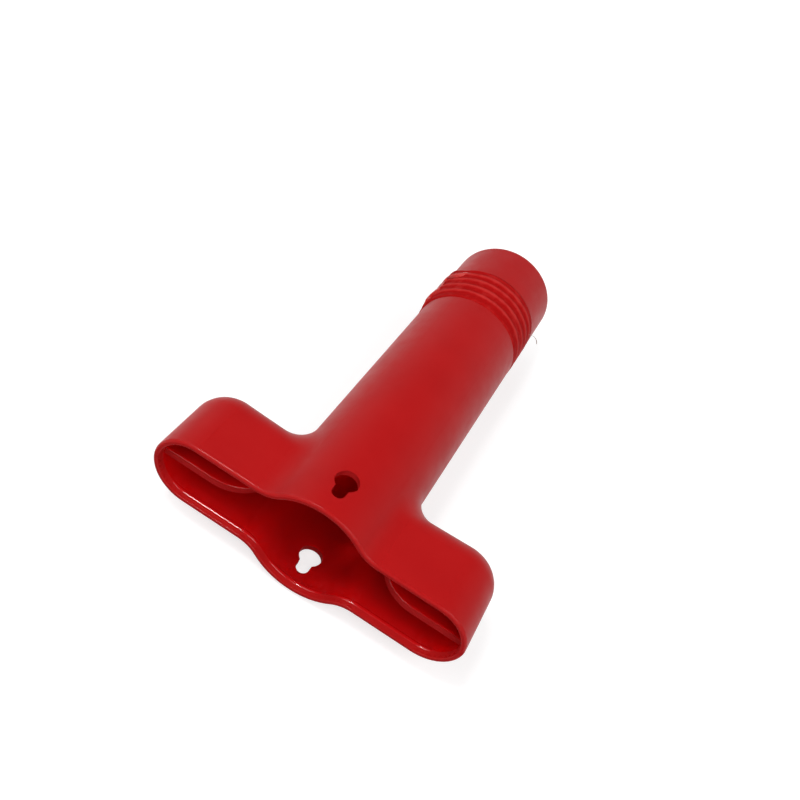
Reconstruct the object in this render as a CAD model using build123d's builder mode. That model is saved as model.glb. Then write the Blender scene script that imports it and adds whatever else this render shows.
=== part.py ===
from build123d import *
import math
import os

os.makedirs("parts", exist_ok=True)

# A T-handled hydrant wrench. Its grip and barrel are one hollow nylon moulding, open at the
# grip's mouth and turned in to a lip at the drive end. A cast pentagon socket sits behind
# the lip, held by pins, and a cord bound round the barrel keeps the pins in.
#
# Frame: the barrel's axis is Y. The origin is the centre of the drive end's face, and +Y
# points out of it. The grip's two wings lie along X, and Z is square to them.

# ---- Driving sizes, in millimetres ----------------------------------------------------

# Moulding: barrel
overall_length = 204.5       # from the mouth's rim to the drive end's face
barrel_diameter = 50.0       # outside of the barrel
wall = 2.5                   # wall of the whole moulding
lip_length = 3.0             # of the lip turned in at the drive end, along the barrel
lip_width = 2.6              # of that lip, inwards from the bore
drive_end_edge = 3.5         # rounding of the barrel's outer edge at the drive end
lip_edge = 0.6               # rounding of the lip's inner edge

# Moulding: grip
grip_span = 129.4            # tip to tip
grip_thickness = 31.0        # through one wing
grip_depth = 35.1            # from the mouth's rim to the wings' back, at the barrel's axis
grip_back_bow = 2.2          # how much deeper a wing is at its tip than at the axis
grip_back_radius = 11.5      # rounding all round the back of a wing
grip_back_flat = 2.0         # least flat left between the two roundings of the back
shoulder_radius = 12.0       # hollow blend where a wing runs into the barrel
rim_outer_edge = 1.1         # rounding of the rim's outer edge
rim_inner_edge = 0.4         # rounding of the rim's inner edge
rim_lead_length = 3.0        # slight flare inside the rim, along the barrel
rim_lead_depth = 0.4         # of that flare, into the wall
rim_lead_blend = 2.0         # rounding where the flare meets the straight wall

# Moulding: stiffening web at mid-height of each wing
web_thickness = 3.4
web_setback = 3.8            # from the rim to the web's front edge
web_gap = 1.5                # from the bore to the web's inner end
web_corner = 18.0            # rounding of the web's inner front corner
web_edge = 0.6               # rounding of the web's front edge

# Moulding: keyholes, one through the top wall and one through the bottom wall
keyhole_diameter = 9.2       # round end, which a screw head passes
keyhole_slot = 5.2           # narrow end, which holds the screw's shank
keyhole_pitch = 6.2          # from the round end's centre to the slot end's centre
keyhole_setback = 16.3       # from the rim to the round end's centre
keyhole_neck = 0.6           # rounding where the round end meets the slot

# Drive socket
nut_size = 31.75             # pentagon nut, from a point to the flat opposite
nut_clearance = 0.4          # round the nut, on each flat
socket_length = 48.0
nut_depth = 38.0             # from the socket's face to the floor of the pentagon
socket_fit = 0.05            # between the socket and the bore, on the radius
socket_chamfer = 1.2         # lead-in round the pentagon, and on the socket's inner end
vent_diameter = 14.0         # hole in the socket's floor

# Pins that hold the socket, one at the middle of each flat of the pentagon
pin_diameter = 4.0
pin_bite = 4.0               # how far a pin goes into the socket
pin_fit = 0.05               # between a pin and its hole, on the radius
pin_sink = 0.3               # how far a pin's head lies below the barrel's surface
pin_setback = 40.0           # from the drive end's face to the pins

# Binding: a flat-laid cord wound round the barrel over the pins
cord_width = 5.2
cord_height = 1.2
cord_pitch = 5.5             # from one turn to the next
cord_turns = 4
cord_fit = 0.05              # between the cord and what it lies on
nose_length = 29.5           # bare barrel between the binding and the drive end's face
cord_start = 200.0           # angle of the first end about the barrel, from +X towards +Z

# Binding: the cord's tail, laid back slantwise over the turns
tail_start = 134.0           # angle of the tail's first end
tail_inset = 2.6             # from the first turn's start to the tail's, along the barrel
tail_turn = 32.0             # how far the tail goes round the barrel, in degrees
tail_lead = 19.5             # how far it goes along the barrel meanwhile

# ---- Sizes that follow ----------------------------------------------------------------

mouth_y = -overall_length
barrel_radius = barrel_diameter / 2
bore_radius = barrel_radius - wall
back_radius = min(grip_back_radius, grip_thickness / 2 - grip_back_flat)
pentagon_flats = 5
pentagon_share = 1 + math.cos(math.pi / pentagon_flats)
nut_radius = nut_size / pentagon_share
flat_distance = nut_radius * math.cos(math.pi / pentagon_flats) + nut_clearance
socket_radius = bore_radius - socket_fit
cord_lay = barrel_radius + cord_fit + cord_height / 2
tail_lay = cord_lay + cord_height + cord_fit
binding_length = cord_turns * cord_pitch


def station(y):
    """The cross-section plane at y: its own x is X, its own y is Z, and it faces -Y."""
    return Plane.XZ.offset(-y)


def seen_flat(z):
    """The plane square to Z at height z, with its origin at the middle of the mouth."""
    return Plane(origin=(0, mouth_y, z), x_dir=(1, 0, 0), z_dir=(0, 0, 1))


def tee_form(inset, barrel_end):
    """The T of grip and barrel as a solid, with its skin lying inset under the outside."""
    with BuildPart() as form:
        with BuildSketch(station(mouth_y)):
            SlotOverall(grip_span - 2 * inset, grip_thickness - 2 * inset)
        extrude(amount=-grip_depth * 2)
        root_depth = grip_depth - inset
        with BuildSketch(seen_flat(0)):
            with BuildLine():
                back = ThreePointArc(
                    (-grip_span / 2, root_depth + grip_back_bow),
                    (0, root_depth),
                    (grip_span / 2, root_depth + grip_back_bow),
                )
                Polyline(back @ 0, (-grip_span / 2, 0), (grip_span / 2, 0), back @ 1)
            make_face()
        extrude(amount=grip_thickness, both=True, mode=Mode.INTERSECT)
        fillet(form.edges(Select.NEW), back_radius - inset)
        with BuildSketch(station(mouth_y)):
            Circle(barrel_radius - inset)
        extrude(amount=-(barrel_end - mouth_y))
        fillet(form.edges(Select.NEW), shoulder_radius + inset)
    return form.part


def pin_plane(number):
    """The plane square to one pin, on the barrel's axis and facing out along the pin."""
    angle = math.radians(-90 + number * 360 / pentagon_flats)
    outward = (math.cos(angle), 0, math.sin(angle))
    return Plane(origin=(0, -pin_setback, 0), x_dir=(0, 1, 0), z_dir=outward)


pin_planes = [pin_plane(number) for number in range(pentagon_flats)]

# ---- Wrench body: the nylon moulding --------------------------------------------------

socket_face_y = -lip_length
socket_back_y = socket_face_y - socket_length
outer_form = tee_form(0, 0)
inner_form = tee_form(wall, socket_face_y)

with BuildPart() as hollow:
    add(inner_form)
    with BuildSketch(seen_flat(-web_thickness / 2)) as web_plan:
        web_inner_x = bore_radius + web_gap
        with BuildLine():
            web_front = FilletPolyline(
                (grip_span / 2, web_setback),
                (web_inner_x, web_setback),
                (web_inner_x, grip_depth * 2),
                radius=web_corner,
            )
            Polyline(web_front @ 1, (grip_span / 2, grip_depth * 2), web_front @ 0)
        make_face()
        mirror(about=Plane.YZ)
    extrude(amount=web_thickness, mode=Mode.SUBTRACT)

with BuildPart() as wrench_body:
    add(outer_form)
    add(hollow.part, mode=Mode.SUBTRACT)
    with BuildSketch(station(socket_face_y)):
        Circle(bore_radius - lip_width)
    extrude(amount=-lip_length, mode=Mode.SUBTRACT)

    # The rim's two edges, the webs' front edges and the lip's two edges
    rim = wrench_body.faces().sort_by(Axis.Y)[0]
    fillet(rim.outer_wire().edges(), rim_outer_edge)
    rim = wrench_body.faces().sort_by(Axis.Y)[0]
    chamfer(rim.inner_wires().edges(), rim_lead_depth, rim_lead_length, reference=rim)
    flare_end = wrench_body.edges().filter_by(
        lambda edge: all(
            abs(point.Y - mouth_y - rim_lead_length) < 1e-3 for point in edge.positions([0, 0.5, 1])
        )
    )
    print("edges where the flare ends:", len(flare_end))
    fillet(flare_end, rim_lead_blend)
    rim = wrench_body.faces().sort_by(Axis.Y)[0]
    fillet(rim.inner_wires().edges(), rim_inner_edge)
    web_faces = wrench_body.faces().filter_by(Plane.XZ).filter_by(
        lambda face: abs(face.center().Y - mouth_y - web_setback) < web_edge
    )
    fillet(web_faces.edges().filter_by(Axis.X), web_edge)
    drive_end = wrench_body.faces().sort_by(Axis.Y)[-1]
    fillet(drive_end.outer_wire().edges(), drive_end_edge)
    drive_end = wrench_body.faces().sort_by(Axis.Y)[-1]
    fillet(drive_end.inner_wires().edges(), lip_edge)

    # The keyholes, cut straight through both walls
    with BuildSketch(seen_flat(0)) as keyhole:
        with Locations((0, keyhole_setback)):
            Circle(keyhole_diameter / 2)
        with Locations((0, keyhole_setback - keyhole_pitch / 2)):
            SlotCenterToCenter(keyhole_pitch, keyhole_slot, rotation=90)
        neck = keyhole.vertices().filter_by(lambda v: abs(abs(v.X) - keyhole_slot / 2) < 1e-3)
        fillet(neck.group_by(Axis.Y)[-1], keyhole_neck)
    extrude(amount=barrel_diameter, both=True, mode=Mode.SUBTRACT)

    # The pins' holes
    for plane in pin_planes:
        with BuildSketch(plane):
            Circle(pin_diameter / 2 + pin_fit)
        extrude(amount=barrel_diameter, mode=Mode.SUBTRACT)
    wrench_body.part.label = "wrench_body"

# ---- Drive socket: the cast pentagon insert -------------------------------------------

with BuildPart() as drive_socket:
    with BuildSketch(station(socket_back_y)):
        Circle(socket_radius)
    extrude(amount=-socket_length)
    chamfer(drive_socket.edges().sort_by(Axis.Y)[0], socket_chamfer)
    with BuildSketch(station(socket_face_y - nut_depth)):
        RegularPolygon(flat_distance, pentagon_flats, major_radius=False, rotation=90)
    extrude(amount=-nut_depth, mode=Mode.SUBTRACT)
    socket_mouth = drive_socket.faces().sort_by(Axis.Y)[-1]
    chamfer(socket_mouth.inner_wires()[0].edges(), socket_chamfer)
    with BuildSketch(station(socket_back_y)):
        Circle(vent_diameter / 2)
    extrude(amount=-socket_length, mode=Mode.SUBTRACT)
    for plane in pin_planes:
        with BuildSketch(plane.offset(socket_radius - pin_bite)):
            Circle(pin_diameter / 2 + pin_fit)
        extrude(amount=pin_bite * 2, mode=Mode.SUBTRACT)
    drive_socket.part.label = "drive_socket"

# ---- Socket pins: one through the barrel's wall into each flat ------------------------

with BuildPart() as socket_pins:
    for plane in pin_planes:
        with BuildSketch(plane.offset(socket_radius - pin_bite + pin_fit)):
            Circle(pin_diameter / 2)
        extrude(amount=barrel_radius - pin_sink - (socket_radius - pin_bite + pin_fit))
    socket_pins.part.label = "socket_pins"

# ---- Binding cord: turns laid side by side from the nose towards the grip -------------


def lay_cord(radius, y, angle, turn, lead):
    """The flat cord laid round the barrel as a helix, from (y, angle) for turn degrees."""
    start_x = (math.cos(math.radians(angle)), 0, math.sin(math.radians(angle)))
    lay_plane = Plane(origin=(0, y, 0), x_dir=start_x, z_dir=(0, -1, 0))
    helix = Helix(pitch=lead * 360 / turn, height=lead, radius=radius, mode=Mode.PRIVATE)
    with BuildPart() as length:
        with BuildLine() as path:
            add(lay_plane * helix)
        cut_plane = Plane(origin=path.line @ 0, x_dir=(0, 1, 0), z_dir=path.line % 0)
        with BuildSketch(cut_plane):
            Ellipse(cord_width / 2, cord_height / 2)
        sweep(path=path.line, is_frenet=True)
    return length


first_turn_y = -nose_length - cord_width / 2
tail_y = first_turn_y - tail_inset
binding_cord = lay_cord(cord_lay, first_turn_y, cord_start, cord_turns * 360, binding_length)
binding_cord.part.label = "binding_cord"
binding_tail = lay_cord(tail_lay, tail_y, tail_start, tail_turn, tail_lead)
binding_tail.part.label = "binding_tail"

# ---- Write every piece ----------------------------------------------------------------

for piece in (wrench_body, drive_socket, socket_pins, binding_cord, binding_tail):
    name = piece.part.label
    print(name, "valid" if piece.part.is_valid else "NOT VALID", round(piece.part.volume), "mm3")
    export_step(piece.part, f"parts/{name}.step")
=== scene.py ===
# %% [markdown]
# # A red hydrant wrench
#
# The wrench is one hollow red moulding, with a T-grip at one end and a pentagon socket behind
# the lip of the other. A rubbery red band is bound round the barrel near the socket's end. The
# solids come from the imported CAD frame, in metres: the barrel lies along Y, the wings along X,
# and the drive end's face is at the origin. This lesson dresses those solids, piece by piece.

# %% Load the frame
import math
import bmesh
import bpy
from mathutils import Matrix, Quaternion, Vector, noise
from mathutils.bvhtree import BVHTree


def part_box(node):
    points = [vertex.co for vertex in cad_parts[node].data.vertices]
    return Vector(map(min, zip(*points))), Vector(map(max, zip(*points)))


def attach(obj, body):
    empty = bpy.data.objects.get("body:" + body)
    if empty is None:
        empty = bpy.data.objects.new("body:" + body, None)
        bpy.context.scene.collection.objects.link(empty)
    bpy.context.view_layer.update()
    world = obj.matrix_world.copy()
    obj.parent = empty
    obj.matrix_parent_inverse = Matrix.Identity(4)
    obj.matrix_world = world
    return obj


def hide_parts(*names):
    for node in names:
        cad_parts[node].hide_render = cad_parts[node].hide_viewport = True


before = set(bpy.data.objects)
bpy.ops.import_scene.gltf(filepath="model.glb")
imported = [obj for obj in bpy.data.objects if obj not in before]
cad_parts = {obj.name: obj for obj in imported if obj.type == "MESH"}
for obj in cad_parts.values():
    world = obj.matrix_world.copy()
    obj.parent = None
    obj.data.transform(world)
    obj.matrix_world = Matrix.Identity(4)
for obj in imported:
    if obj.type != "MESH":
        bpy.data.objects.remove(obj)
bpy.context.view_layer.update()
MM = 0.001
print("nodes:", sorted(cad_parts))

# %% [markdown]
# ## Measure before making
#
# Every piece added here is placed from the CAD solids. The numbers could be typed in again,
# but then they would be wrong as soon as the solids change. A box of each node says where the
# mouth, the barrel's skin and the binding are.

# %% Places that the other steps use
body_low, body_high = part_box("wrench_body")
cord_low, cord_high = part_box("binding_cord")
mouth_y = body_low.y
barrel_radius = body_high.z
cord_reach = cord_high.z
floor_z = cord_low.z
print("mouth at", round(mouth_y / MM, 1), "mm, barrel radius", round(barrel_radius / MM, 2), "mm")
print("binding from", round(cord_low.y / MM, 1), "to", round(cord_high.y / MM, 1), "mm")
print("binding reaches out to", round(cord_reach / MM, 2), "mm")

# %% [markdown]
# ## The camera
#
# The wrench is seen from above its mouth, with the barrel running away to the upper right.
# A camera can be turned by angles, but aiming it at a point and then rolling it is easier to
# change later. The roll tips the picture so that the grip's wings run down to the right.

# %% Camera
camera_place = Vector((31.0, -389.0, 254.1)) * MM
aim_point = Vector((-7.5, -107.3, -4.36)) * MM
camera_roll = math.radians(26.77)

camera_data = bpy.data.cameras.new("view")
camera_data.lens = 40.0
camera_data.sensor_width = 36.0
camera_data.clip_start = 10 * MM
camera = bpy.data.objects.new("view", camera_data)
bpy.context.scene.collection.objects.link(camera)
camera.location = camera_place
camera.rotation_mode = "QUATERNION"
aimed = (aim_point - camera_place).to_track_quat("-Z", "Y")
camera.rotation_quaternion = aimed @ Quaternion((0, 0, 1), camera_roll)
bpy.context.scene.camera = camera
print("camera is", round((aim_point - camera_place).length, 3), "m from the barrel")

# %% [markdown]
# ## Helpers for node materials
#
# A procedural material is a small machine made of nodes. Each finish could be wired by hand,
# but the same few nodes come back in all of them, so short helpers add a node, join two
# sockets, and make the noise, the ramps and the bumps. Textures read object coordinates in
# metres, so grain() takes the size of one grain and works out the noise's scale. Noise stays
# mostly between 0.35 and 0.65, which is the range that between() spreads out, and two_tone()
# is all dark below 0.3 and all light above 0.7.

# %% A material, its shader and its wires
def shader_of(material):
    return material.node_tree.nodes["Principled BSDF"]


def new_material(name, colour, roughness):
    material = bpy.data.materials.new(name)
    material.use_nodes = True
    shader = shader_of(material)
    shader.inputs["Base Color"].default_value = (*colour, 1)
    shader.inputs["Roughness"].default_value = roughness
    material.diffuse_color = (*colour, 1)
    return material


def add_node(material, kind, **settings):
    made = material.node_tree.nodes.new(kind)
    for name, value in settings.items():
        setattr(made, name, value)
    return made


def join(material, source, target):
    material.node_tree.links.new(source, target)


def feed(material, source, socket):
    join(material, source, shader_of(material).inputs[socket])


print("helpers: shader_of, new_material, add_node, join, feed")


# %% Noise, and what can be done with it
tone_stops = (0.3, 0.7)


def grain(material, grain_size, detail=2.0, distort=0.0):
    place = add_node(material, "ShaderNodeTexCoord")
    texture = add_node(material, "ShaderNodeTexNoise")
    texture.inputs["Scale"].default_value = 1 / grain_size
    texture.inputs["Detail"].default_value = detail
    texture.inputs["Distortion"].default_value = distort
    join(material, place.outputs["Object"], texture.inputs["Vector"])
    return texture.outputs["Fac"]


def between(material, factor, low, high, start=0.35, stop=0.65):
    ramp = add_node(material, "ShaderNodeMapRange")
    ramp.inputs["From Min"].default_value = start
    ramp.inputs["From Max"].default_value = stop
    ramp.inputs["To Min"].default_value = low
    ramp.inputs["To Max"].default_value = high
    join(material, factor, ramp.inputs["Value"])
    return ramp.outputs["Result"]


def two_tone(material, factor, dark, light):
    ramp = add_node(material, "ShaderNodeValToRGB")
    for stop, position, colour in zip(ramp.color_ramp.elements, tone_stops, (dark, light)):
        stop.position = position
        stop.color = (*colour, 1)
    join(material, factor, ramp.inputs["Fac"])
    return ramp.outputs["Color"]


def combine(material, operation, first, second):
    made = add_node(material, "ShaderNodeMath", operation=operation)
    join(material, first, made.inputs[0])
    join(material, second, made.inputs[1])
    return made.outputs[0]


def bump(material, height, depth, strength, under=None):
    made = add_node(material, "ShaderNodeBump")
    made.inputs["Distance"].default_value = depth
    made.inputs["Strength"].default_value = strength
    join(material, height, made.inputs["Height"])
    if under is not None:
        join(material, under, made.inputs["Normal"])
    return made.outputs["Normal"]


print("helpers: grain, between, two_tone, combine, bump")


# %% A whole finish in one call
# tone is (grain size, detail, dark colour, light colour), gloss is (grain size, detail, lowest
# roughness, highest), and relief is (grain size, detail, depth, strength).
def make_finish(name, colour, roughness, tone=None, gloss=None, relief=None, specular=0.5, metallic=0.0):
    material = new_material(name, colour, roughness)
    if tone:
        size, detail, dark, light = tone
        feed(material, two_tone(material, grain(material, size, detail), dark, light), "Base Color")
    if gloss:
        size, detail, low, high = gloss
        feed(material, between(material, grain(material, size, detail), low, high), "Roughness")
    if relief:
        size, detail, depth, strength = relief
        feed(material, bump(material, grain(material, size, detail), depth, strength), "Normal")
    shader_of(material).inputs["Specular IOR Level"].default_value = specular
    shader_of(material).inputs["Metallic"].default_value = metallic
    print(name, "starts with", len(material.node_tree.nodes), "nodes")
    return material


# %% [markdown]
# ## The grained outside
#
# The body came out of a steel mould. The cavity that shaped the outside was eroded to a fine
# matte grain. The grain could be modelled in the mesh, but it is only a quarter of a
# millimetre across, so bump does it better. Under it lies a slow waviness, which real
# mouldings have where the wall shrinks. Colour and gloss drift a little with their own noise.

# %% Grained outer skin
fine_grain_size, wave_size = 0.25 * MM, 14 * MM
outer_skin = make_finish(
    "red_grained_skin", (0.41, 0.0072, 0.0078), 0.39,
    tone=(22 * MM, 3, (0.395, 0.0066, 0.0072), (0.425, 0.0080, 0.0084)),
    gloss=(6 * MM, 4, 0.36, 0.43),
    specular=0.095,
)
waves = bump(outer_skin, grain(outer_skin, wave_size, detail=1), 0.08 * MM, 0.4)
fine_grain = bump(outer_skin, grain(outer_skin, fine_grain_size), 0.02 * MM, 0.5, under=waves)
feed(outer_skin, fine_grain, "Normal")
print("the grain is", fine_grain_size / MM, "mm, on waves of", wave_size / MM, "mm")

# %% [markdown]
# ## The polished inside
#
# The core that shaped the hollow was polished, so the same red plastic looks wet inside. The
# wall is thin enough for red light to soak through it, and that is nearly all the light there
# is deep in the hollow, so the finish lets more of it through there. Two materials could share
# the work, but they would change over on the long faces of the bore and show as stripes. One
# material whose colour and soaking follow the place along the barrel has no such edge. Its
# tone adds a little random drift to a rise along the barrel, from the dark stop to the light
# one. That rise is painted light: the colour is made paler deep in the hollow, where little
# lamp light reaches.

# %% Polished inner skin
inner_skin = make_finish(
    "red_polished_skin", (0.43, 0.004, 0.005), 0.10,
    gloss=(4 * MM, 3, 0.07, 0.14),
    relief=(9 * MM, 1, 0.05 * MM, 0.3),
)
soaked_from, soaked_to = mouth_y + 44 * MM, mouth_y + 60 * MM
inner_place = add_node(inner_skin, "ShaderNodeTexCoord")
inner_axes = add_node(inner_skin, "ShaderNodeSeparateXYZ")
join(inner_skin, inner_place.outputs["Object"], inner_axes.inputs[0])
along_barrel = inner_axes.outputs["Y"]
print("more light soaks in from", round(soaked_from / MM, 1), "to", round(soaked_to / MM, 1), "mm")

# %% Its colour, with painted light deep inside
drift = between(inner_skin, grain(inner_skin, 18 * MM), 0.30, 0.36)
# painted light: the base colour is made paler deeper along the barrel, standing in for light in the dark
# hollow
painted_light_deeper = between(inner_skin, along_barrel, 0.0, 0.34, soaked_from, soaked_to)
drift_and_painted_light = combine(inner_skin, "ADD", drift, painted_light_deeper)
# the deep colour is paler as painted light, not as the plastic's own colour
near_mouth, deep_inside_painted_paler = (0.415, 0.0036, 0.0046), (0.640, 0.0050, 0.0060)
feed(inner_skin, two_tone(inner_skin, drift_and_painted_light, near_mouth, deep_inside_painted_paler), "Base Color")
print("inner colour runs from", near_mouth, "to", deep_inside_painted_paler)

# %% The light that soaks through it
soak_near, soak_deep = 10 * MM, 34 * MM
inner_shader = shader_of(inner_skin)
inner_shader.inputs["Subsurface Weight"].default_value = 1.0
inner_shader.inputs["Subsurface Radius"].default_value = (1.0, 0.1, 0.1)
soak = between(inner_skin, along_barrel, soak_near, soak_deep, soaked_from, soaked_to)
feed(inner_skin, soak, "Subsurface Scale")
print("light soaks", soak_near / MM, "mm in near the mouth and", soak_deep / MM, "mm deeper in")

# %% [markdown]
# ## Three finishes near the rim
#
# Along the mouth runs a fine bead with the polished gloss of the inside. It stands on top of
# the wall and is too fine for light to soak into, which would only blur its glint, so it has
# a finish without that. The rounded upper edge of the rim is the part that hands and shelves
# rub, so the grain there is worn to a low gloss. The rim's flat front, the webs' front edges
# and the keyholes' walls were trimmed after moulding, so they are the dullest. Their colour is
# also darker, which is painted shade for the shade that falls on the recessed webs' fronts and
# keyhole walls.

# %% Polished bead, rubbed edge, and trimmed edge with painted shade
bead_skin = make_finish(
    "red_polished_bead", (0.46, 0.004, 0.005), 0.10,
    tone=(18 * MM, 2, (0.44, 0.0030, 0.0040), (0.48, 0.0045, 0.0055)),
    gloss=(4 * MM, 3, 0.07, 0.14),
    relief=(9 * MM, 1, 0.05 * MM, 0.3),
)
edge_skin = make_finish(
    "red_rubbed_edge", (0.40, 0.0072, 0.0078), 0.17,
    tone=(7 * MM, 3, (0.385, 0.0066, 0.0072), (0.415, 0.0080, 0.0084)),
    gloss=(3 * MM, 4, 0.14, 0.20),
    relief=(1.5 * MM, 2, 0.02 * MM, 0.4),
    specular=0.12,
)
# the trimmed finish is duller, and its darker colour is painted shade for the recessed webs' fronts and
# keyhole walls
trimmed_shaded_skin = make_finish(
    "red_trimmed_edge_painted_shade", (0.36, 0.0070, 0.0076), 0.6,
    tone=(5 * MM, 3, (0.345, 0.0064, 0.0070), (0.375, 0.0078, 0.0084)),
    gloss=(1.5 * MM, 3, 0.54, 0.66),
    relief=(0.4 * MM, 3, 0.03 * MM, 0.5),
    specular=0.03,
)

# %% [markdown]
# ## Dress the body
#
# The CAD solid already has the right shape, but it is one mesh with one material. One
# material could mix the finishes by a painted mask, but a mask blurs at the rim. A copy of the
# mesh with a material for each finish changes over exactly along the edges of its faces.

# %% A copy that can carry four finishes
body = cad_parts["wrench_body"]
shell = body.copy()
shell.data = body.data.copy()
shell.name = "moulded_body"
shell.parent = None
for key in list(shell.keys()):
    del shell[key]
bpy.context.scene.collection.objects.link(shell)
body_skins = (outer_skin, inner_skin, edge_skin, trimmed_shaded_skin)
OUTER, INNER, EDGE, TRIM_SHADED = range(4)
shell.data.materials.clear()
for skin in body_skins:
    shell.data.materials.append(skin)
print("the body's copy has", len(shell.data.polygons), "faces")

# %% [markdown]
# A face belongs to the hollow if a point just above it is closed in on four sides, so four
# rays, up, down, left and right, must all meet plastic. That holds for any shape of hollow,
# and no list of faces has to be kept.

# %% Is a place closed in?
shell_tree = BVHTree.FromPolygons(
    [vertex.co for vertex in shell.data.vertices],
    [face.vertices for face in shell.data.polygons],
)
SIDES = [Vector((1, 0, 0)), Vector((-1, 0, 0)), Vector((0, 0, 1)), Vector((0, 0, -1))]
ray_reach = 150 * MM


def closed_in(place):
    return all(shell_tree.ray_cast(place, side, ray_reach)[0] is not None for side in SIDES)


print("the barrel's middle is closed in:", closed_in(Vector((0, mouth_y / 2, 0))))

# %% [markdown]
# The other finishes follow from where a face is and which way it looks. The flare just inside
# the rim was cut with the cavity's side of the mould, so it keeps the grain. A direction is
# given by the parts of the face's normal: minus 1 along Y looks straight out of the mouth, and
# 0 along Z means that the face stands upright.

# %% Which finish a face gets
rubbed_length, front_depth, flare_length = 1.15 * MM, 0.4 * MM, 2.8 * MM
web_half, web_start = 2.0 * MM, 21.0 * MM
keyhole_half, keyhole_from, keyhole_to = 10 * MM, 6 * MM, 70 * MM
just_above = 0.2 * MM
rubbed_front, rubbed_back, rubbed_up = -0.62, -0.08, 0.1
flat_front, near_front, web_front = -0.97, -0.95, -0.35
web_level, keyhole_level = 0.7, 0.5


def finish_of(face):
    place, facing = face.center, face.normal
    depth = place.y - mouth_y
    looks_up = rubbed_front < facing.y < rubbed_back and facing.z > rubbed_up
    if depth < rubbed_length and looks_up:
        return EDGE
    on_rim = depth < front_depth and facing.y < flat_front
    at_web = abs(place.z) < web_half and abs(place.x) > web_start
    on_web = at_web and abs(facing.z) < web_level and facing.y < web_front
    at_keyhole = abs(place.x) < keyhole_half and keyhole_from < depth < keyhole_to
    if on_rim or on_web or (at_keyhole and abs(facing.z) < keyhole_level):
        return TRIM_SHADED
    behind_flare = depth > flare_length and facing.y > near_front
    if behind_flare and closed_in(place + facing * just_above):
        return INNER
    return OUTER


for face in shell.data.polygons:
    face.material_index = finish_of(face)
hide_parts("wrench_body")
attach(shell, "root")
finishes_found = [face.material_index for face in shell.data.polygons]
for index, skin in enumerate(body_skins):
    print(skin.name, "covers", finishes_found.count(index), "faces")

# %% [markdown]
# ## Sections along a path
#
# The bead, the band, its twisted end and the fibre are all long pieces. A bevelled curve would
# make each of them, but with one section all along. Here each piece is a row of rings of
# points, so its section can swell, turn and taper, and one helper lays faces between the
# rings and closes the ends.

# %% Laying faces between rings
def skin_sections(name, sections, material, closed=False):
    mesh = bmesh.new()
    rings = [[mesh.verts.new(point) for point in section] for section in sections]
    count = len(rings[0])
    pairs = list(zip(rings, rings[1:])) + ([(rings[-1], rings[0])] if closed else [])
    for near, far in pairs:
        for i in range(count):
            k = (i + 1) % count
            mesh.faces.new((near[i], near[k], far[k], far[i]))
    if not closed:
        mesh.faces.new(reversed(rings[0]))
        mesh.faces.new(rings[-1])
    bmesh.ops.recalc_face_normals(mesh, faces=mesh.faces)
    data = bpy.data.meshes.new(name)
    mesh.to_mesh(data)
    mesh.free()
    for face in data.polygons:
        face.use_smooth = True
    data.materials.append(material)
    made = bpy.data.objects.new(name, data)
    bpy.context.scene.collection.objects.link(made)
    print(name, "has", len(data.polygons), "faces")
    return made


# %% [markdown]
# ## The witness line
#
# Where the polished core met the grained cavity, a little plastic was squeezed into the joint
# and left a fine rounded ridge just inside the mouth. It is the brightest line on the wrench.
# Its path could be drawn again from the grip's measures. Cutting a copy of the mesh with a
# plane finds the wall where it really is, and a small bead is then laid along that section.

# %% Cut the body just inside the mouth
witness_y = mouth_y + 3.0 * MM
weld_distance = 0.001 * MM
cut = bmesh.new()
cut.from_mesh(shell.data)
bmesh.ops.remove_doubles(cut, verts=cut.verts, dist=weld_distance)
sliced = bmesh.ops.bisect_plane(
    cut, geom=cut.verts[:] + cut.edges[:] + cut.faces[:],
    plane_co=(0, witness_y, 0), plane_no=(0, 1, 0),
)
cut_edges = [found for found in sliced["geom_cut"] if isinstance(found, bmesh.types.BMEdge)]
print("the cut has", len(cut_edges), "edges")


# %% Walk round the section
# A dictionary keeps its order, so the walk starts at the same place in each run.
def walk_loops(edges):
    neighbours = {}
    for edge in edges:
        first, second = edge.verts
        neighbours.setdefault(first, []).append(second)
        neighbours.setdefault(second, []).append(first)
    left_over = dict.fromkeys(neighbours)
    found = []
    while left_over:
        here, loop = next(iter(left_over)), []
        while here is not None:
            del left_over[here]
            loop.append(here.co.copy())
            here = next((other for other in neighbours[here] if other in left_over), None)
        found.append(loop)
    return found


def width(loop):
    return max(point.x for point in loop) - min(point.x for point in loop)


loops = sorted(walk_loops(cut_edges), key=width, reverse=True)
cut.free()
outside, hollow = loops[:2]
print(len(loops), "loops in the cut")
print("outside", round(width(outside) / MM, 1), "mm wide, hollow", round(width(hollow) / MM, 1), "mm")


# %% Points at even distances
def even_loop(points, count):
    lengths = [(points[(i + 1) % len(points)] - point).length for i, point in enumerate(points)]
    total = sum(lengths)
    made, i, run = [], 0, 0.0
    for k in range(count):
        want = total * k / count
        while run + lengths[i] < want:
            run += lengths[i]
            i += 1
        share = (want - run) / max(lengths[i], 1e-9)
        made.append(points[i].lerp(points[(i + 1) % len(points)], share))
    return made


bead_count = 480
bead_path = even_loop(hollow, bead_count)
print("the bead's points are", round((bead_path[1] - bead_path[0]).length / MM, 2), "mm apart")

# %% [markdown]
# The bead's section is the top of a circle that is nearly all inside the wall, so it swells
# out of the plastic without an edge: only the top 26 degrees to each side show, of the 56 that
# are made. It stands along the level stretches, and sinks away where the wall turns, because
# the mould closed tighter there.

# %% Lay the bead
bead_radius, bead_sink = 1.5 * MM, 0.03 * MM
bead_shows, bead_reach, arc_steps = 26, 56, 7
bead_rise = bead_radius * (1 - math.cos(math.radians(bead_shows)))
sinks_at, stands_at = 0.80, 0.98
ALONG = Vector((0, 1, 0))


def eased(value, start, stop):
    share = max(0.0, min(1.0, (value - start) / (stop - start)))
    return share * share * (3 - 2 * share)


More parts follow.
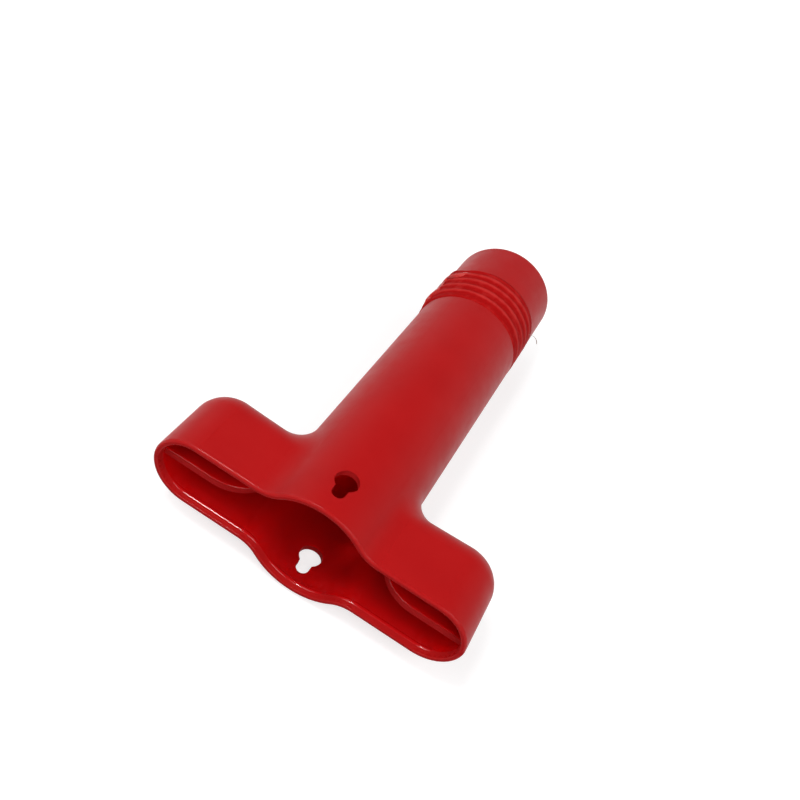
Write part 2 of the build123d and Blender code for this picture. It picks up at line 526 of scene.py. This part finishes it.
turning = sum(a.x * b.z - b.x * a.z for a, b in zip(bead_path, bead_path[1:] + bead_path[:1]))
bead_angles = [math.radians(bead_reach * (k / arc_steps - 1)) for k in range(2 * arc_steps + 1)]
bead_sections = []
for i, place in enumerate(bead_path):
    forward = (bead_path[(i + 2) % bead_count] - bead_path[i - 2]).normalized()
    inward = Vector((-forward.z, 0, forward.x)) * (1 if turning > 0 else -1)
    standing = eased(abs(inward.z), sinks_at, stands_at)
    centre = place - inward * (bead_radius - bead_rise * standing + bead_sink * (1 - standing))
    arc = [centre + (inward * math.cos(a) + ALONG * math.sin(a)) * bead_radius for a in bead_angles]
    bead_sections.append(arc + [centre])
witness = skin_sections("witness_line", bead_sections, bead_skin, closed=True)
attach(witness, "root")
print("witness line stands", round(bead_rise / MM, 2), "mm proud")

# %% [markdown]
# ## The band's finish
#
# The rubbery band is dull. Its crests are coloured paler and its grooves darker, which is a
# painted highlight along the crest of each turn and painted shade in the grooves between. The
# pale lines could be painted by a texture, but a texture wouldn't know where the crests are.
# The mesh knows, so each of its points will carry how high on a crest it is, as an attribute,
# and the material turns that into the painted highlight.

# %% Band finish, with painted crest highlights
band_skin = make_finish(
    "red_band", (0.40, 0.0068, 0.0072), 0.5,
    gloss=(1.6 * MM, 2, 0.46, 0.56),
    relief=(1.2 * MM, 2, 0.02 * MM, 0.4),
    specular=0.008,
)
crest_highlight_node = add_node(band_skin, "ShaderNodeAttribute", attribute_name="crest_highlight")
streaks = between(band_skin, grain(band_skin, 5 * MM, detail=3, distort=0.3), -0.12, 0.12)
# painted highlight and shade: crests get the pale colour and grooves the dark one, standing in for light
# on each turn
painted_crest_highlight = between(band_skin, crest_highlight_node.outputs["Fac"], *tone_stops, 0.35, 0.95)
band_streaks_and_highlight = combine(band_skin, "ADD", streaks, painted_crest_highlight)
groove_painted_shade, crest_painted_highlight = (0.385, 0.0056, 0.0060), (0.520, 0.0290, 0.0270)
feed(band_skin, two_tone(band_skin, band_streaks_and_highlight, groove_painted_shade, crest_painted_highlight), "Base Color")
print("band colour runs from", groove_painted_shade, "to", crest_painted_highlight)

# %% [markdown]
# ## How the band lies
#
# Four turns grip the barrel. Wound tight, a soft band goes flat under itself, swells softly on
# top and presses its neighbours until hardly a groove is left. Four separate tubes would stay
# round and cut through each other. So the binding is one sleeve: a grid of points round the
# barrel, each lifted by a thin film and by the soft ridges of the turns that pass near it.
#
# Angles run round the barrel, from 0 degrees at the right over 90 at the top to 180 at the
# left. The turns lie low on the right and stand up a little on the left, where the end was
# twisted in. There they fan out too, and seen from the side the binding bends like a saddle.

# %% Film, ridges, fan and saddle
saddle_depth, saddle_middle = 0.9 * MM, 85
fan_share, fan_opens, fan_open, fan_closes, fan_closed = 0.30, 130, 167, 190, 260
left_middle, right_middle = 165, 5
film_usual, film_left, film_right = 0.48, 0.12, 0.38
ridge_usual, ridge_left, ridge_right = 0.45, 0.40, 0.33


def on_barrel(angle, y, radius):
    return Vector((radius * math.cos(angle), y, radius * math.sin(angle)))


def towards_nose(angle):
    return saddle_depth * (1 - math.cos(2 * (angle - math.radians(saddle_middle))))


def fan(degrees):
    opened, closed = eased(degrees, fan_opens, fan_open), eased(degrees, fan_closes, fan_closed)
    return 1 + fan_share * opened * (1 - closed)


def leaning(angle):
    left = max(0.0, math.cos(angle - math.radians(left_middle))) ** 5
    right = max(0.0, math.cos(angle - math.radians(right_middle))) ** 6
    return left, right


def film_at(angle):
    left, right = leaning(angle)
    return (film_usual + film_left * left - film_right * right) * MM


def ridge_at(angle):
    left, right = leaning(angle)
    return (ridge_usual + ridge_left * left - ridge_right * right) * MM


for name, degrees in (("right", 0), ("top", 90), ("left", 180)):
    film, ridge = film_at(math.radians(degrees)), ridge_at(math.radians(degrees))
    print(name, "film", round(film / MM, 2), "mm, ridge", round(ridge / MM, 2), "mm")

# %% [markdown]
# Each turn runs square to the barrel and steps over to the next one underneath, from 195 to
# 335 degrees. The first turn starts and the last one ends there too, so their ridges rise and
# fade. A fifth ridge is the band's end, which comes up over the top on the left. A little
# noise sways and swells them all, as a band wound by hand is never even.

# %% The ridges that pass over one angle
crest_y = [-51.5 * MM, -45.6 * MM, -40.1 * MM, -35.1 * MM, -30.6 * MM]
step_from, step_to = 195, 335
start_turn, last_turn, end_turn = -1, 3, 4
rises = {start_turn: (300, 340), end_turn: (85, 115)}
fades = {last_turn: (215, 255), end_turn: (200, 240)}
end_share = 0.7
most_sway, most_swell = 0.25 * MM, 0.15


def strength_of(turn, degrees):
    strength = end_share if turn == end_turn else 1.0
    if turn in rises:
        strength *= eased(degrees, *rises[turn])
    if turn in fades:
        strength *= 1 - eased(degrees, *fades[turn])
    return strength


def crest_of(turn, degrees):
    if turn == start_turn:
        return crest_y[0]
    next_turn = turn if turn in (last_turn, end_turn) else turn + 1
    here, after = crest_y[turn], crest_y[next_turn]
    return here + (after - here) * eased(degrees, step_from, step_to)


def wobble(angle, waves_round, layer):
    return noise.noise(Vector((waves_round * math.cos(angle), waves_round * math.sin(angle), layer)))


def ridges_at(angle):
    degrees = math.degrees(angle)
    found = []
    for turn in range(start_turn, end_turn + 1):
        strength = strength_of(turn, degrees)
        if strength > 0:
            sway = most_sway * wobble(angle, 1.3, 3.0 * turn)
            swell = 1 + most_swell * wobble(angle, 2, 9 + 2.0 * turn)
            found.append((crest_of(turn, degrees) + sway, ridge_at(angle) * swell * strength))
    return found


print("ridges over the top:", len(ridges_at(math.radians(90))))

# %% [markdown]
# Across the binding, each ridge is one wave of a cosine. Waves that overlap add up, so a
# groove between two turns gets shallow where they press together, and the film runs out
# softly at both sides.

# %% Height of the sleeve at one point
film_low, film_high = -57.0 * MM, -29.7 * MM
low_taper, high_taper = 1.0 * MM, 1.5 * MM
ridge_half = 2.2 * MM


def sleeve_height(y, film, ridges):
    taper = eased(y - film_low, 0, low_taper) * eased(film_high - y, 0, high_taper)
    lift = 0
    for place, tall in ridges:
        aside = min(1.0, abs(y - place) / ridge_half)
        lift += tall * 0.5 * (1 + math.cos(math.pi * aside))
    return (film + lift) * taper, lift * taper


highest, _ = sleeve_height(crest_y[1], film_at(math.radians(165)), ridges_at(math.radians(165)))
print("on the left the second turn stands", round(highest / MM, 2), "mm high")

# %% [markdown]
# ## The sleeve
#
# Each section goes across the binding on top, and comes back just under the barrel's skin, so
# the sleeve is a closed piece. Below, it may not stand lower than the cord's solid, because
# the wrench rests on the floor there. The height of the ridges alone is kept for each point,
# and becomes the mask of the painted crest highlight.

# %% One section of the sleeve
around_count, across_count, under_count = 360, 110, 9
sunk, skin_gap = 0.15 * MM, 0.02 * MM
room_below, underside = cord_reach - barrel_radius, -0.7
edge_wander = 0.12 * MM


def section_at(angle):
    shift = towards_nose(angle) + edge_wander * wobble(angle, 3, 2.0)
    spread = fan(math.degrees(angle))
    film, ridges, tallest = film_at(angle), ridges_at(angle), ridge_at(angle)
    most = room_below if math.sin(angle) < underside else math.inf
    points, highlight_shares = [], []
    for j in range(across_count + 1):
        y = film_low + (film_high - film_low) * j / across_count
        rise, lift = sleeve_height(y, film, ridges)
        fanned_y = film_low + (y - film_low) * spread + shift
        points.append(on_barrel(angle, fanned_y, barrel_radius - skin_gap + min(rise, most)))
        highlight_shares.append(min(1.0, lift / tallest))
    for j in range(1, under_count):
        y = film_high + (film_low - film_high) * j / under_count
        fanned_y = film_low + (y - film_low) * spread + shift
        points.append(on_barrel(angle, fanned_y, barrel_radius - sunk))
        highlight_shares.append(0.0)
    return points, highlight_shares


print("a section has", len(section_at(0)[0]), "points")


# %% Make the sleeve
def circle(count):
    return [math.tau * k / count for k in range(count)]


sections = [section_at(angle) for angle in circle(around_count)]
crest_highlight_shares = [share for _, highlight_shares in sections for share in highlight_shares]
sleeve = skin_sections("wound_band", [points for points, _ in sections], band_skin, closed=True)
# how high on a crest each point is, which masks the painted crest highlight
crest_highlight = sleeve.data.attributes.new("crest_highlight", "FLOAT", "POINT")
crest_highlight.data.foreach_set("value", crest_highlight_shares)
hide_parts("binding_cord")
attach(sleeve, "root")
print("points on a crest:", sum(share > 0.5 for share in crest_highlight_shares), "of", len(crest_highlight_shares))

# %% [markdown]
# ## The twisted end
#
# Where the band crosses itself it has been given a twist, so for a short way it stands up as
# a rolled strand that lies slantwise over the turns and then goes under the lowest one. It
# could be another ridge of the sleeve, but a ridge can't turn over. An oval section that turns
# as it goes along a curve makes a twisted band, whose flat sides catch the light one after the
# other. Its finish is paler and pinker than the band's, and a little glossy.

# %% Stretched band finish
taut_skin = make_finish(
    "red_stretched_band", (0.48, 0.0200, 0.0190), 0.24,
    tone=(3 * MM, 2, (0.46, 0.0120, 0.0100), (0.56, 0.0280, 0.0220)),
    gloss=(1 * MM, 2, 0.20, 0.30),
    relief=(0.8 * MM, 2, 0.02 * MM, 0.4),
    specular=0.3,
)

# %% [markdown]
# The strand's middle line goes through a few stops. Each says how far round the barrel it is
# in degrees, how far along it, and how proud of its skin, both in millimetres. A Catmull-Rom
# curve goes smoothly through all of them, so there are no more stops than the bends need.

# %% Middle line of the twist
twist_stops = [
    (126, -32.8, 0.5), (133, -34.6, 0.9), (141, -35.4, 1.1), (148, -34.4, 1.1), (154, -33.2, 0.8),
    (157, -35.6, 0.6), (156, -40.0, 0.9), (156, -45.6, 0.9), (160, -50.4, 0.9), (168, -53.2, 0.4),
]
twist_count, oval_count = 160, 16


def smooth_stops(stops, share):
    place = share * (len(stops) - 1)
    k = min(int(place), len(stops) - 2)
    t = place - k
    a, b, c, d = (stops[max(0, min(len(stops) - 1, k + offset))] for offset in (-1, 0, 1, 2))
    return [0.5 * (2 * b[n] + (c[n] - a[n]) * t + (2 * a[n] - 5 * b[n] + 4 * c[n] - d[n]) * t * t
                   + (3 * b[n] - a[n] - 3 * c[n] + d[n]) * t ** 3) for n in range(3)]


def along_stops(stops, count):
    made = []
    for i in range(count + 1):
        degrees, y, proud = smooth_stops(stops, i / count)
        made.append(on_barrel(math.radians(degrees), y * MM, barrel_radius + proud * MM))
    return made


twist_line = along_stops(twist_stops, twist_count)
twist_length = sum((b - a).length for a, b in zip(twist_line, twist_line[1:]))
print("twist is", round(twist_length / MM, 1), "mm long")

# %% Turning oval along it
half_wide, half_thick, one_turn = 1.25 * MM, 0.60 * MM, 42 * MM
tip_share, tip_steps = 0.2, 14
sections = []
run = 0.0
for i, place in enumerate(twist_line):
    before, after = twist_line[max(i - 1, 0)], twist_line[min(i + 1, twist_count)]
    forward = (after - before).normalized()
    outward = Vector((place.x, 0, place.z)).normalized()
    outward = (outward - forward * outward.dot(forward)).normalized()
    beside = forward.cross(outward)
    run += (place - before).length
    turned = math.tau * run / one_turn
    flat = (beside * math.cos(turned) + outward * math.sin(turned)) * half_wide
    thin = (outward * math.cos(turned) - beside * math.sin(turned)) * half_thick
    full = min(1.0, tip_share + min(i, twist_count - i) / tip_steps)
    oval = [flat * math.cos(a) + thin * math.sin(a) for a in circle(oval_count)]
    sections.append([place + point * full for point in oval])
twist = skin_sections("twisted_end", sections, taut_skin)
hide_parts("binding_tail")
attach(twist, "root")
print("the strand turns over", round(run / one_turn, 2), "times")

# %% [markdown]
# ## A loose fibre
#
# One pale fibre has come away at the band's right edge. A hair system could grow it, but it is
# a single hair, so a thin tube that tapers to its tip is enough. Five stops bend it.

# %% Fibre
fibre_skin = make_finish(
    "pale_fibre", (0.32, 0.23, 0.18), 0.5,
    tone=(0.5 * MM, 2, (0.26, 0.18, 0.14), (0.38, 0.28, 0.22)),
    relief=(0.2 * MM, 2, 0.02 * MM, 0.5),
)
fibre_stops = [
    (19.5, -33.4, 0.2), (18, -32.4, 1.7), (15.5, -31.6, 3.1), (12.5, -31.4, 4.2), (9.5, -31.8, 4.8),
]
fibre_count, fibre_sides = 32, 6
fibre_radius, lost_at_tip = 0.27 * MM, 0.35
fibre_line = along_stops(fibre_stops, fibre_count)
fibre_sections = []
for i, centre in enumerate(fibre_line):
    out = Vector((centre.x, 0, centre.z)).normalized()
    lie = (ALONG.cross(out) + ALONG).normalized()
    thick = fibre_radius * (1 - lost_at_tip * i / fibre_count)
    ring = [out * math.cos(a) + lie * math.sin(a) for a in circle(fibre_sides)]
    fibre_sections.append([centre + point * thick for point in ring])
fibre = skin_sections("loose_fibre", fibre_sections, fibre_skin)
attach(fibre, "root")
fibre_length = sum((b - a).length for a, b in zip(fibre_line, fibre_line[1:]))
print("fibre is", round(fibre_length / MM, 1), "mm long")

# %% [markdown]
# ## Iron socket and steel pins
#
# The insert is a grey iron casting, seen only through the drive end, and steel pins hold it.
# Their CAD solids have the right shape, so they stay, and only their materials are changed.
# Castings are dull and slightly pitted from the sand, so the iron has broad mottling, fine
# pits and high roughness. The pins are drawn steel, brighter and with an uneven polish.

# %% Cast iron and drawn steel
iron = make_finish(
    "cast_iron", (0.16, 0.155, 0.15), 0.6,
    tone=(5 * MM, 5, (0.10, 0.097, 0.094), (0.22, 0.215, 0.21)),
    gloss=(1.5 * MM, 4, 0.5, 0.75),
    relief=(0.6 * MM, 6, 0.12 * MM, 0.7),
    metallic=1.0,
)
steel = make_finish(
    "drawn_steel", (0.55, 0.55, 0.56), 0.3,
    gloss=(0.8 * MM, 5, 0.22, 0.42),
    relief=(0.3 * MM, 2, 0.02 * MM, 0.4),
    metallic=1.0,
)
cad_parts["drive_socket"].data.materials[0] = iron
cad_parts["socket_pins"].data.materials[0] = steel

# %% [markdown]
# ## The white sweep
#
# A white background could come from flooding everything with light, but that would wash out
# the red. Light Path tells a shader which ray has reached it: what the camera or a reflection
# sees gets a glow that brings it to white, and the light that bounces on to the object stays
# plain. The glow is weaker close to the wrench, where the lamps are brightest, so a shadow
# still shows there.

# %% White paper
paper = bpy.data.materials.new("white_paper")
paper.use_nodes = True
paper.node_tree.nodes.clear()
rays = add_node(paper, "ShaderNodeLightPath").outputs
seen_or_glossy = combine(paper, "MAXIMUM", rays["Is Camera Ray"], rays["Is Glossy Ray"])
seen = combine(paper, "MAXIMUM", seen_or_glossy, rays["Is Transmission Ray"])
paper_tone, tone_under_glow = 0.75, 0.40
matte = add_node(paper, "ShaderNodeBsdfDiffuse")
join(paper, between(paper, seen, paper_tone, tone_under_glow, 0, 1), matte.inputs["Color"])
print("paper's own tone is", paper_tone, "and", tone_under_glow, "under the glow")

# %% Its glow
near_glow, far_glow = 0.71, 0.98
glow_from, glow_to = 0.10, 0.28
paper_place = add_node(paper, "ShaderNodeTexCoord")
away = add_node(paper, "ShaderNodeVectorMath", operation="LENGTH")
join(paper, paper_place.outputs["Object"], away.inputs[0])
glow_there = between(paper, away.outputs["Value"], near_glow, far_glow, glow_from, glow_to)
glow = add_node(paper, "ShaderNodeEmission")
join(paper, combine(paper, "MULTIPLY", glow_there, seen), glow.inputs["Strength"])
matte_and_glow = add_node(paper, "ShaderNodeAddShader")
join(paper, matte.outputs[0], matte_and_glow.inputs[0])
join(paper, glow.outputs[0], matte_and_glow.inputs[1])
paper_out = add_node(paper, "ShaderNodeOutputMaterial")
join(paper, matte_and_glow.outputs[0], paper_out.inputs["Surface"])
print("white_paper has", len(paper.node_tree.nodes), "nodes")

# %% [markdown]
# A flat floor would end at a visible horizon in low views. A round wall far behind the wrench
# carries the same white, so those views meet it too. Both are placed so that their own
# coordinates, which the glow is measured by, start near the wrench's middle.

# %% Floor and wall
floor_reach, wall_height, rim_count = 3.0, 2.2, 64
glow_middle_y = mouth_y * 0.6
floor_rim, wall_top = [], []
for angle in circle(rim_count):
    x, y = floor_reach * math.cos(angle), floor_reach * math.sin(angle)
    floor_rim.append((x, y, floor_z))
    wall_top.append((x, y, floor_z + wall_height))
floor_mesh = bpy.data.meshes.new("floor")
floor_mesh.from_pydata(floor_rim, [], [tuple(range(rim_count))])
wall_mesh = bpy.data.meshes.new("wall")
wall_faces = []
for k in range(rim_count):
    after = (k + 1) % rim_count
    wall_faces.append((k, rim_count + k, rim_count + after, after))
wall_mesh.from_pydata(floor_rim + wall_top, [], wall_faces)
for mesh in (floor_mesh, wall_mesh):
    backdrop = bpy.data.objects.new(mesh.name, mesh)
    bpy.context.scene.collection.objects.link(backdrop)
    mesh.materials.append(paper)
    backdrop.location = (0, glow_middle_y, 0)
print("floor reaches", floor_reach, "m, at", round(floor_z / MM, 2), "mm")

# %% [markdown]
# ## Light
#
# Soft studio light is a few large softboxes and a weak, even sky. One strong lamp would give
# hard edges and burn the red out. Each softbox faces the wrench, and is given by the direction
# it stands in, its distance, its size and the light it sheds. A narrow strip high on the left
# draws the thin glints along the mouth.

# %% World
sky_strength = 0.10
world = bpy.data.worlds.new("studio")
bpy.context.scene.world = world
world.use_nodes = True
sky = world.node_tree.nodes["Background"]
sky.inputs["Color"].default_value = (1, 1, 1, 1)
sky.inputs["Strength"].default_value = sky_strength
print("sky strength is", sky_strength)

# %% Softboxes
wrench_middle = Vector((0, mouth_y / 2, 0))


def softbox(name, turn, lift, distance, size, power, height=None):
    lamp = bpy.data.lights.new(name, "AREA")
    lamp.shape = "RECTANGLE" if height else "SQUARE"
    lamp.size = size
    if height:
        lamp.size_y = height
    lamp.energy = power
    holder = bpy.data.objects.new(name, lamp)
    bpy.context.scene.collection.objects.link(holder)
    across, up = math.radians(turn), math.radians(lift)
    away = Vector((math.sin(across) * math.cos(up), -math.cos(across) * math.cos(up), math.sin(up)))
    holder.location = wrench_middle + away * distance
    holder.rotation_mode = "QUATERNION"
    holder.rotation_quaternion = (-away).to_track_quat("-Z", "Y")
    print(name, "sheds", power, "W from", distance, "m")


softbox("front_left_softbox", -40, 50, 1.3, 0.87, 4.5)
softbox("front_right_softbox", 45, 45, 1.3, 0.87, 7.7)
softbox("left_softbox", -100, 45, 0.9, 0.6, 1.6)
softbox("right_softbox", 100, 45, 0.9, 0.6, 0.9)
softbox("glint_strip", -37.5, 65.9, 0.894, 0.09, 2.6, height=0.20)
bpy.context.scene.view_settings.view_transform = "Standard"
